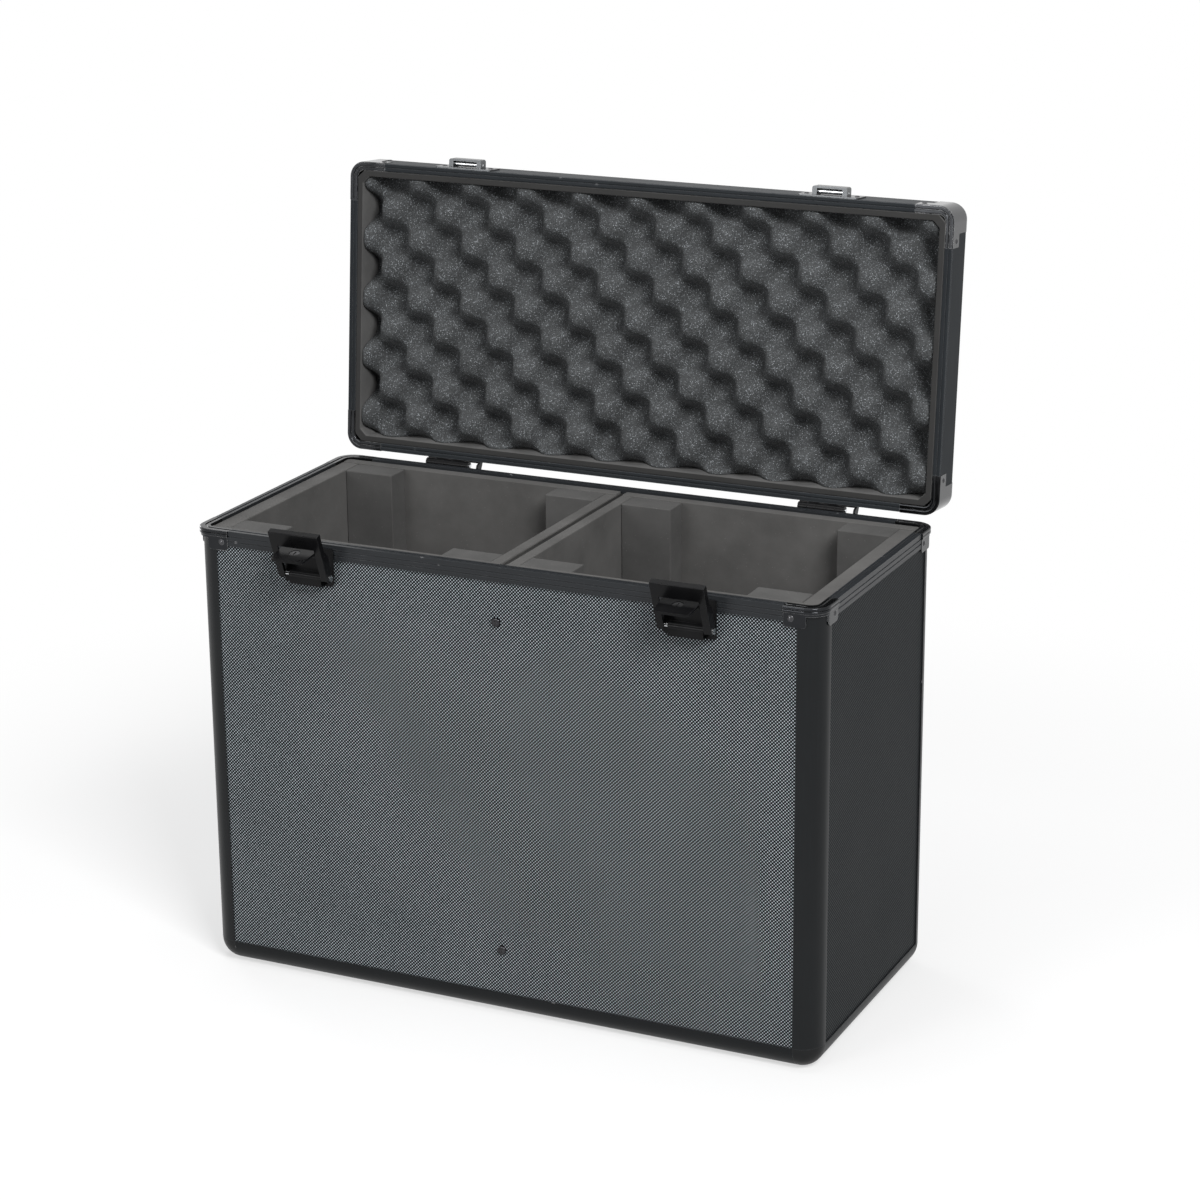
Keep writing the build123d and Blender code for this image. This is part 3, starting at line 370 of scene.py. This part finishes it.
def sheet_foam(name, shade, shaded_side=None):
    """Closed cell foam sheet: matte and finely grained, with faint rubbed patches and dust.

    The side that faces along the given direction gets painted shade, darker as if it lay in
    shadow.
    """
    tree = Tree(name)
    grain = tree.noise(scale=1400, detail=3, rough=0.65)
    patch = tree.noise(scale=22, detail=4, rough=0.6)
    rubbed = tree.noise(scale=7, detail=3, rough=0.6, stretch=(1, 1, 3))
    specks = tree.span(tree.cells(420)["Distance"], 0.16, 0.08)
    dusty_places = tree.math("GREATER_THAN", tree.noise(scale=130, detail=1), 0.60)
    dust = tree.times(specks, dusty_places)
    light = scaled(shade, 1.22)
    base = tree.mottle(patch, scaled(shade, 0.80), light)
    base = tree.cover(base, tree.span(grain, 0.35, 0.7), 0.3, light)
    base = tree.cover(base, tree.span(rubbed, 0.5, 0.75), 0.3, scaled(shade, 1.4))
    base = tree.cover(base, dust, 0.4, dust_grey)
    # Painted shade: the side that faces this direction is darkened, as if it lay in shadow.
    if shaded_side:
        facing = tree.dot(tree.add("ShaderNodeTexCoord").outputs["Normal"], shaded_side)
        cut = tree.span(facing, 0.5, 0.9, to_high=0.85)
        base = tree.blend(cut, base, scaled(shade, 0.22))
    rough = tree.vary(grain, 0.75, 0.9)
    normal = tree.bump(grain, 0.12 * MM, 0.6, tree.bump(patch, 0.3 * MM, 0.4))
    return tree.finish(
        color=base, rough=rough, normal=normal, shine=0.1, sheen=0.04, sheen_rough=0.6
    )


strut_dark = (0.055, 0.0573, 0.0585)
strut_light = (0.074, 0.0772, 0.0790)
# The colour of the painted shade in the pores.
pore_painted_shade = (0.008, 0.0085, 0.009)
# Colours of the painted glints on the struts.
painted_glint_faint = (0.20, 0.215, 0.23)
painted_glint_bright = (0.60, 0.64, 0.68)


def open_cell_foam(name):
    """Acoustic foam: dark open cells with painted shade in the pores, and painted glints on the
    struts here and there.
    """
    tree = Tree(name)
    pores = tree.cells(620)
    struts = tree.cells(1300)
    luck = tree.add("ShaderNodeSeparateColor")
    tree.links.new(struts["Color"], luck.inputs[0])
    solid = tree.span(pores["Distance"], 0.15, 0.65)
    # Painted glints: bright specks standing in for tiny highlights on the struts.
    spot = tree.span(struts["Distance"], 0.50, 0.22)
    painted_glint = tree.times(spot, tree.span(luck.outputs["Red"], 0.74, 0.93))
    faint = tree.times(spot, tree.span(luck.outputs["Green"], 0.35, 0.9))
    patch = tree.noise(scale=30, detail=3)
    base = tree.mottle(patch, strut_dark, strut_light)
    # Painted shade in the pores, darkening their middles toward black.
    base = tree.blend(solid, tree.blend(0.45, base, pore_painted_shade), base)
    base = tree.cover(base, faint, 0.36, painted_glint_faint)
    base = tree.cover(base, painted_glint, 0.75, painted_glint_bright)
    rough = tree.span(painted_glint, 0, 1, 0.9, 0.5)
    fuzz = tree.bump(tree.noise(scale=500, detail=3), 0.3 * MM, 0.4)
    normal = tree.bump(solid, 0.5 * MM, 0.6, fuzz)
    return tree.finish(
        color=base, rough=rough, normal=normal, shine=0.1, sheen=0.05, sheen_rough=0.5
    )


def rubber(name, shade):
    """Moulded rubber with a fine matte texture."""
    tree = Tree(name)
    grain = tree.noise(scale=1700)
    cloud = tree.noise(scale=40, detail=3)
    base = tree.mottle(cloud, shade, scaled(shade, 1.4))
    rough = tree.vary(cloud, 0.62, 0.74)
    normal = tree.bump(grain, 0.05 * MM, 0.5)
    return tree.finish(color=base, rough=rough, normal=normal, shine=0.25)


def coated_board(name, dark, light):
    """The divider: plywood faced on both sides, its edge painted dark."""
    tree = Tree(name)
    grain = tree.noise(scale=220, detail=4, rough=0.65, stretch=(1, 0.08, 1))
    cloud = tree.noise(scale=20, detail=3)
    base = tree.mottle(grain, dark, light)
    rough = tree.vary(cloud, 0.5, 0.65)
    normal = tree.bump(grain, 0.08 * MM, 0.5)
    return tree.finish(color=base, rough=rough, normal=normal, shine=0.2)


def give(material, *names):
    """Puts one material on these nodes."""
    for name in names:
        mesh = nodes[name].data
        mesh.materials.clear()
        mesh.materials.append(material)


def paint_panels():
    """The laminate, laid along each panel."""
    turn = lid_open.to_3x3()
    lid_across = tuple(turn @ Vector(along_x))
    lid_along = tuple(turn @ Vector(along_y))
    give(laminate("laminate_front", along_x, along_z, 0.94), "front_panel", "back_panel")
    # Painted shade: the side panels' copy has its dots dimmed to 0.12, and the front and back
    # copy to 0.94.
    give(laminate("laminate_side_shaded", along_y, along_z, 0.12), "left_panel", "right_panel")
    give(laminate("laminate_bottom", along_x, along_y), "bottom_panel")
    give(laminate("laminate_lid", lid_across, lid_along), "lid_panel")


def paint_profiles():
    """The black edge profiles of the body, the rim and the lid, drawn along their length."""
    body = (0.0065, 0.0074, 0.0082)
    give(anodised("anodised_upright", body, "Z", 0.36, 0.18), "corner_profiles")
    give(anodised("anodised_long", body, "X", shine=0.14), "bottom_profiles_long")
    give(anodised("anodised_short", body, "Y", shine=0.14), "bottom_profiles_short")
    rim = (0.012, 0.0135, 0.0155)
    rim_long = anodised("anodised_rim_long", rim, "X", 0.38)
    rim_short = anodised("anodised_rim_short", rim, "Y", 0.38)
    give(rim_long, "rim_profile_front", "rim_profile_back")
    give(rim_short, "rim_profile_left", "rim_profile_right")
    lid = (0.020, 0.0225, 0.025)
    # The lid profiles take the full painted highlight on their ridges.
    lid_long = anodised("anodised_lid_long", lid, "X", shine=0.04, ridge_highlight=1.0)
    lid_short = anodised("anodised_lid_short", lid, "Z", shine=0.02, ridge_highlight=1.0)
    give(lid_long, "lid_profile_front", "lid_profile_back")
    give(lid_short, "lid_profile_left", "lid_profile_right")


def paint_hardware():
    """Corners, rivets, screws, latches, hinges, catches, handle and divider."""
    give(painted("painted_corner", (0.012, 0.0125, 0.013), 0.38), "bottom_corners")
    # The nickel corners' bright edges are partly wear and partly a painted highlight on their
    # beads.
    rim_nickel = plated(
        "black_nickel", (0.024, 0.025, 0.027), 0.13, scratches=0.3, bright=0.6, edge=0.7 * MM
    )
    lid_nickel = plated("lid_nickel", (0.028, 0.029, 0.031), 0.14, bright=0.5, edge=0.5 * MM)
    for corner in ("front_left", "front_right", "back_left", "back_right"):
        give(rim_nickel, f"rim_corner_{corner}")
        give(lid_nickel, f"lid_corner_{corner}")
    rivet = plated("dark_rivet", (0.055, 0.055, 0.058), 0.25)
    give(rivet, "rim_rivets", "lid_rivets", "body_rivets")
    board = coated_board("divider_paint", (0.012, 0.012, 0.012), (0.024, 0.023, 0.022))
    give(board, "divider_board")
    give(plated("zinc_screw", (0.035, 0.035, 0.037), 0.14), "divider_screws")
    latch = painted("latch_paint", (0.0038, 0.0038, 0.0042), 0.31)
    lock = plated("lock_plate", (0.05, 0.05, 0.052), 0.33)
    brass = plated("spring_brass", (0.42, 0.37, 0.29), 0.33)
    catch = plated("catch_plate", (0.075, 0.078, 0.081), 0.26)
    for side in ("left", "right"):
        give(latch, f"latch_base_{side}", f"latch_frame_{side}", f"latch_lever_{side}")
        give(latch, f"hinge_body_leaf_{side}", f"hinge_lid_leaf_{side}")
        give(lock, f"latch_lock_{side}")
        give(brass, f"latch_spring_{side}")
        give(catch, f"catch_{side}")
    steel = plated("bright_steel", (0.55, 0.56, 0.57), 0.20)
    give(steel, "latch_pins", "hinge_pins", "catch_rollers")
    handle = painted("handle_paint", (0.010, 0.010, 0.011), 0.4)
    give(handle, "handle_brackets", "handle_bail")
    give(rubber("grip_rubber", (0.012, 0.012, 0.012)), "handle_grip")


# Foam pieces, which stand for their plain solids

bevel_segments = 3
bevel_from_angle = math.radians(40)


def mesh_from(bm, name):
    """Turns what was built into a mesh."""
    mesh = bpy.data.meshes.new(name)
    bm.to_mesh(mesh)
    bm.free()
    return mesh


def shade_smooth(mesh):
    """Smooth shading on the whole mesh."""
    for polygon in mesh.polygons:
        polygon.use_smooth = True


def new_object(name, mesh, body, material, replaced):
    """Puts a finished mesh into the scene."""
    shape = bpy.data.objects.new(name, mesh)
    bpy.context.scene.collection.objects.link(shape)
    mesh.materials.append(material)
    shade_smooth(mesh)
    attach(shape, body)
    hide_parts(*replaced)
    return shape


def apply_modifiers(shape):
    """Turns the modifiers' result into the mesh itself."""
    graph = bpy.context.evaluated_depsgraph_get()
    mesh = bpy.data.meshes.new_from_object(shape.evaluated_get(graph))
    old = shape.data
    shape.modifiers.clear()
    shape.data = mesh
    bpy.data.meshes.remove(old)


def soft_edges(shape, width):
    """Rounds a cut foam sheet's edges and keeps its faces flat."""
    bevel = shape.modifiers.new("edges", "BEVEL")
    bevel.width = width
    bevel.segments = bevel_segments
    bevel.limit_method = "ANGLE"
    bevel.angle_limit = bevel_from_angle
    apply_modifiers(shape)
    shade_smooth(shape.data)
    weighted = shape.modifiers.new("normals", "WEIGHTED_NORMAL")
    weighted.keep_sharp = True


def add_block(bm, low, high):
    """One cut sheet or block, as a box between two corners."""
    size = [b - a for a, b in zip(low, high)]
    centre = [(a + b) / 2 for a, b in zip(low, high)]
    place = Matrix.Translation(centre) @ Matrix.Diagonal((*size, 1.0))
    bmesh.ops.create_cube(bm, size=1.0, matrix=place)


def cut_outline(half_x, half_y, cut):
    """A rectangle with straight cut corners, counterclockwise."""
    points = []
    for sx, sy in ((1, 1), (-1, 1), (-1, -1), (1, -1)):
        first = (sx * (half_x - cut), sy * half_y)
        second = (sx * half_x, sy * (half_y - cut))
        points += [second, first] if sx * sy > 0 else [first, second]
    return points


def join_rings(bm, first, second):
    """A band of faces between two closed rows of points."""
    count = len(first)
    for index in range(count):
        after = (index + 1) % count
        bm.faces.new((first[index], first[after], second[after], second[index]))


def cut_foam(bm, name, body, material, node, bevel):
    """Foam cut from sheet, with rounded edges, in place of one node."""
    shape = new_object(name, mesh_from(bm, name), body, material, (node,))
    soft_edges(shape, bevel)


sheet_bevel = 0.9 * MM
lining_shade = (0.090, 0.088, 0.0855)
lining_seam = 0.5 * MM
lining_wall = 10.0 * MM
lining_end_wall = 16.0 * MM
# The short sheets end a little below the long ones, as foam cut by hand does.
lining_drop_left = 0.4 * MM
lining_drop_right = 0.7 * MM


def bay_linings():
    """Four sheets per bay, butted at the corners. The one at the case's end is thicker."""
    material = sheet_foam("lining_foam", lining_shade)
    for side in ("left", "right"):
        node = f"{side}_bay_lining"
        low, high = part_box(node)
        x0, y0, z0 = low
        x1, y1, z1 = high
        left_wall, right_wall = lining_wall, lining_end_wall
        if side == "left":
            left_wall, right_wall = right_wall, left_wall
        inner0 = y0 + lining_wall + lining_seam
        inner1 = y1 - lining_wall - lining_seam
        bm = bmesh.new()
        add_block(bm, (x0, y0, z0), (x1, y0 + lining_wall, z1))
        add_block(bm, (x0, y1 - lining_wall, z0), (x1, y1, z1))
        add_block(bm, (x0, inner0, z0), (x0 + left_wall, inner1, z1 - lining_drop_left))
        add_block(bm, (x1 - right_wall, inner0, z0), (x1, inner1, z1 - lining_drop_right))
        cut_foam(bm, f"{side}_lining_sheets", "case", material, node, sheet_bevel)


insert_shade = (0.075, 0.0738, 0.0722)
insert_block_x = 46.0 * MM
insert_block_y = 24.0 * MM
insert_block_drop_mm = 1.2
insert_glue_gap = 0.1 * MM
insert_ledge_drop = 90.0 * MM
insert_well = 75.0 * MM


def bay_inserts():
    """A ledge round a well, with four blocks on it."""
    material = sheet_foam("insert_foam", insert_shade)
    for side in ("left", "right"):
        node = f"{side}_bay_insert"
        low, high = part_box(node)
        x0, y0, z0 = low
        x1, y1, z1 = high
        middle = (x0 + x1) / 2
        ledge = z1 - insert_ledge_drop
        bm = bmesh.new()
        add_block(bm, (x0, y0, z0), (x1, -insert_well, ledge))
        add_block(bm, (x0, insert_well, z0), (x1, y1, ledge))
        add_block(bm, (x0, -insert_well, z0), (middle - insert_well, insert_well, ledge))
        add_block(bm, (middle + insert_well, -insert_well, z0), (x1, insert_well, ledge))
        foot = ledge + insert_glue_gap
        for bx0, bx1 in ((x0, x0 + insert_block_x), (x1 - insert_block_x, x1)):
            for by0, by1 in ((y0, y0 + insert_block_y), (y1 - insert_block_y, y1)):
                drop = rng.uniform(0.0, insert_block_drop_mm) * MM
                add_block(bm, (bx0, by0, foot), (bx1, by1, z1 - drop))
        cut_foam(bm, f"{side}_insert_blocks", "case", material, node, sheet_bevel)
    bottom_pads(material)


def bottom_pads(material):
    """One sheet under each bay's insert."""
    low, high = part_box("bay_bottom_pads")
    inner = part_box("right_bay_insert")[0][0]
    x0, y0, z0 = low
    x1, y1, z1 = high
    bm = bmesh.new()
    add_block(bm, (inner, y0, z0), (x1, y1, z1))
    add_block(bm, (x0, y0, z0), (-inner, y1, z1))
    cut_foam(bm, "bottom_pad_sheets", "case", material, "bay_bottom_pads", sheet_bevel)


def shut_box(node):
    """A lid node's box in the shut pose."""
    points = [lid_shut @ v.co for v in nodes[node].data.vertices]
    low = Vector([min(p[i] for p in points) for i in range(3)])
    high = Vector([max(p[i] for p in points) for i in range(3)])
    return low, high


liner_shade = (0.104, 0.103, 0.1015)
liner_cut = 6.0 * MM
liner_wall = 5.0 * MM
liner_bevel = 0.8 * MM


def lid_liner():
    """A foam strip round the inside of the lid, with cut corners."""
    low, high = shut_box("lid_liner")
    half_x, half_y = high[0], high[1]
    outer = cut_outline(half_x, half_y, liner_cut)
    inner = cut_outline(half_x - liner_wall, half_y - liner_wall, liner_cut)
    section = ((outer, low[2]), (outer, high[2]), (inner, high[2]), (inner, low[2]))
    bm = bmesh.new()
    rows = []
    for outline, height in section:
        rows.append([bm.verts.new(lid_open @ Vector((x, y, height))) for x, y in outline])
    for row, next_row in zip(rows, rows[1:] + rows[:1]):
        join_rings(bm, row, next_row)
    bmesh.ops.recalc_face_normals(bm, faces=bm.faces)
    # The liner's side that faces the lid's mouth gets painted shade.
    mouth = tuple(lid_open.to_3x3() @ -Vector(along_z))
    material = sheet_foam("liner_foam", liner_shade, mouth)
    cut_foam(bm, "liner_strip", "lid", material, "lid_liner", liner_bevel)


foam_pitch = 53.0 * MM
foam_shift_x = -4.0 * MM
foam_shift_y = -8.0 * MM
# How far the peaks stand out of the plain solid's face, and how deep the valleys are below them.
foam_rise = 5.5 * MM
foam_valley = 27.5 * MM
foam_step = 1.6 * MM
foam_edge_round = 2.2 * MM
foam_edge_drop = 1.5 * MM
# In parts of the wave's height: how far its middle level is lifted, and how far the cut wanders.
foam_saddle = 0.04
foam_drift = 0.05
# The wandering's noise, per metre, and the place in it.
foam_drift_scale = 14
foam_drift_seed = 3.1


def wave(x, y):
    """The foam's height between its valleys and peaks, from nought to one."""
    turn = 2 * math.pi / foam_pitch
    value = math.cos(turn * (x - foam_shift_x)) * math.cos(turn * (y - foam_shift_y))
    value += foam_saddle * (1 - value * value)
    value = 0.5 + 0.5 * math.sin(math.pi / 2 * value)
    drift = noise.noise(Vector((x * foam_drift_scale, y * foam_drift_scale, foam_drift_seed)))
    value += foam_drift * drift * (1 - abs(2 * value - 1))
    return min(1.0, max(0.0, value))


def wavy_side(bm, half_x, half_y, mouth):
    """A fine grid over the slab's wavy side. Its rows get shorter at the cut corners."""
    across = int(2 * half_x / foam_step)
    along = int(2 * half_y / foam_step)
    grid = []
    for row in range(along + 1):
        y = -half_y + 2 * half_y * row / along
        reach = half_x - max(0.0, abs(y) - (half_y - liner_cut))
        line = []
        for column in range(across + 1):
            x = reach * (2 * column / across - 1)
            height = mouth - foam_rise + foam_valley * (1 - wave(x, y))
            inside = min(half_y - abs(y), reach - abs(x))
            if inside < foam_edge_round:
                height += foam_edge_drop * (1 - inside / foam_edge_round) ** 2
            line.append(bm.verts.new(lid_open @ Vector((x, y, height))))
        grid.append(line)
    for line, next_line in zip(grid, grid[1:]):
        for column in range(across):
            after = column + 1
            bm.faces.new((line[column], next_line[column], next_line[after], line[after]))
    return grid


def flat_back(bm, grid, height):
    """The slab's four sides and its back, from the border of its wavy side."""
    border = grid[0] + [line[-1] for line in grid[1:]] + list(reversed(grid[-1][:-1]))
    border += [line[0] for line in reversed(grid[1:-1])]
    backs = []
    for vertex in border:
        x, y, _ = lid_shut @ vertex.co
        backs.append(bm.verts.new(lid_open @ Vector((x, y, height))))
    join_rings(bm, border, backs)
    bm.faces.new(backs)


def lid_foam():
    """The wavy foam slab in the lid, with staggered peaks."""
    low, high = shut_box("lid_foam")
    bm = bmesh.new()
    grid = wavy_side(bm, high[0], high[1], low[2])
    flat_back(bm, grid, high[2])
    bmesh.ops.recalc_face_normals(bm, faces=bm.faces)
    material = open_cell_foam("wavy_foam")
    mesh = mesh_from(bm, "wavy_foam")
    new_object("wavy_foam_slab", mesh, "lid", material, ("lid_foam",))


# Studio

white = (1, 1, 1, 1)
floor_size = 6.0
floor_below = 0.5 * MM
floor_lit = (0.95, 0.95, 0.95, 1)
floor_plain = (0.35, 0.35, 0.35, 1)
# The floor keeps this much of the shadow inside the first radius, and none past the second.
shadow_depth = 0.42
shadow_near = 0.45
shadow_far = 1.1
room_color = (0.96, 0.98, 1.0, 1)
room_strength = 0.18


def show_white(tree, plain, bright, target):
    """Shows the bright shader to the camera and in metal and glass, the plain one to the rest."""
    path = tree.nodes.new("ShaderNodeLightPath")
    shown = path.outputs["Is Camera Ray"]
    for name in ("Is Glossy Ray", "Is Transmission Ray"):
        either = tree.nodes.new("ShaderNodeMath")
        either.operation = "MAXIMUM"
        tree.links.new(shown, either.inputs[0])
        tree.links.new(path.outputs[name], either.inputs[1])
        shown = either.outputs[0]
    mix = tree.nodes.new("ShaderNodeMixShader")
    for source, socket in zip((shown, plain, bright), mix.inputs):
        tree.links.new(source, socket)
    tree.links.new(mix.outputs[0], target)


def floor_white():
    """The floor's material, whose shadow fades out away from the case."""
    material = bpy.data.materials.new("floor_white")
    material.use_nodes = True
    tree = material.node_tree
    tree.nodes.remove(tree.nodes["Principled BSDF"])
    place = tree.nodes.new("ShaderNodeTexCoord")
    reach = tree.nodes.new("ShaderNodeVectorMath")
    reach.operation = "LENGTH"
    tree.links.new(place.outputs["Object"], reach.inputs[0])
    fade = tree.nodes.new("ShaderNodeMapRange")
    fade.interpolation_type = "SMOOTHSTEP"
    tree.links.new(reach.outputs["Value"], fade.inputs[0])
    limits = (shadow_near, shadow_far, 1 - shadow_depth, 1.0)
    for number, socket in zip(limits, fade.inputs[1:5]):
        socket.default_value = number
    lit = tree.nodes.new("ShaderNodeBsdfDiffuse")
    lit.inputs["Color"].default_value = floor_lit
    glow = tree.nodes.new("ShaderNodeEmission")
    glow.inputs["Color"].default_value = white
    seen = tree.nodes.new("ShaderNodeMixShader")
    for source, socket in zip((fade, lit, glow), seen.inputs):
        tree.links.new(source.outputs[0], socket)
    plain = tree.nodes.new("ShaderNodeBsdfDiffuse")
    plain.inputs["Color"].default_value = floor_plain
    surface = tree.nodes["Material Output"].inputs["Surface"]
    show_white(tree, plain.outputs[0], seen.outputs[0], surface)
    return material


def make_floor():
    """A white floor that keeps the case's shadow."""
    bm = bmesh.new()
    bmesh.ops.create_grid(bm, x_segments=1, y_segments=1, size=floor_size)
    mesh = mesh_from(bm, "floor")
    floor = bpy.data.objects.new("floor", mesh)
    floor.location = (0, 0, -floor_below)
    bpy.context.scene.collection.objects.link(floor)
    mesh.materials.append(floor_white())


def make_world():
    """White to the camera and in metal, a soft grey room to everything else."""
    world = bpy.data.worlds.new("studio")
    bpy.context.scene.world = world
    world.use_nodes = True
    tree = world.node_tree
    room = tree.nodes["Background"]
    room.inputs["Color"].default_value = room_color
    room.inputs["Strength"].default_value = room_strength
    seen = tree.nodes.new("ShaderNodeBackground")
    seen.inputs["Color"].default_value = white
    surface = tree.nodes["World Output"].inputs["Surface"]
    show_white(tree, room.outputs[0], seen.outputs[0], surface)


# A broad lamp in front on the right, one overhead, and weak ones behind and in front on the left.
# Each has a name, a place, the point it faces, a width and height, and its power in watts.
lamps = (
    ("key_light", (2.1, -1.9, 2.6), (0, 0, 0.35), (1.3, 1.2), 122),
    ("top_light", (-0.2, 0.0, 2.9), (0, 0, 0.4), (1.7, 1.1), 24),
    ("back_light", (-3.1, 1.9, 1.2), (0, 0, 0.35), (1.2, 1.2), 30),
    ("fill_light", (-1.2, -3.1, 1.2), (0, 0, 0.3), (1.2, 1.2), 32),
)


def soft_box(name, place, target, size, power):
    """A rectangular soft light that faces a point."""
    data = bpy.data.lights.new(name, "AREA")
    data.shape = "RECTANGLE"
    data.size, data.size_y = size
    data.energy = power
    light = bpy.data.objects.new(name, data)
    light.location = place
    facing = Vector(target) - Vector(place)
    light.rotation_euler = facing.to_track_quat("-Z", "Y").to_euler()
    bpy.context.scene.collection.objects.link(light)


make_camera()
make_floor()
make_world()
for lamp in lamps:
    soft_box(*lamp)
paint_panels()
paint_profiles()
paint_hardware()
bay_linings()
bay_inserts()
lid_liner()
lid_foam()

bpy.context.scene.view_settings.view_transform = "Standard"
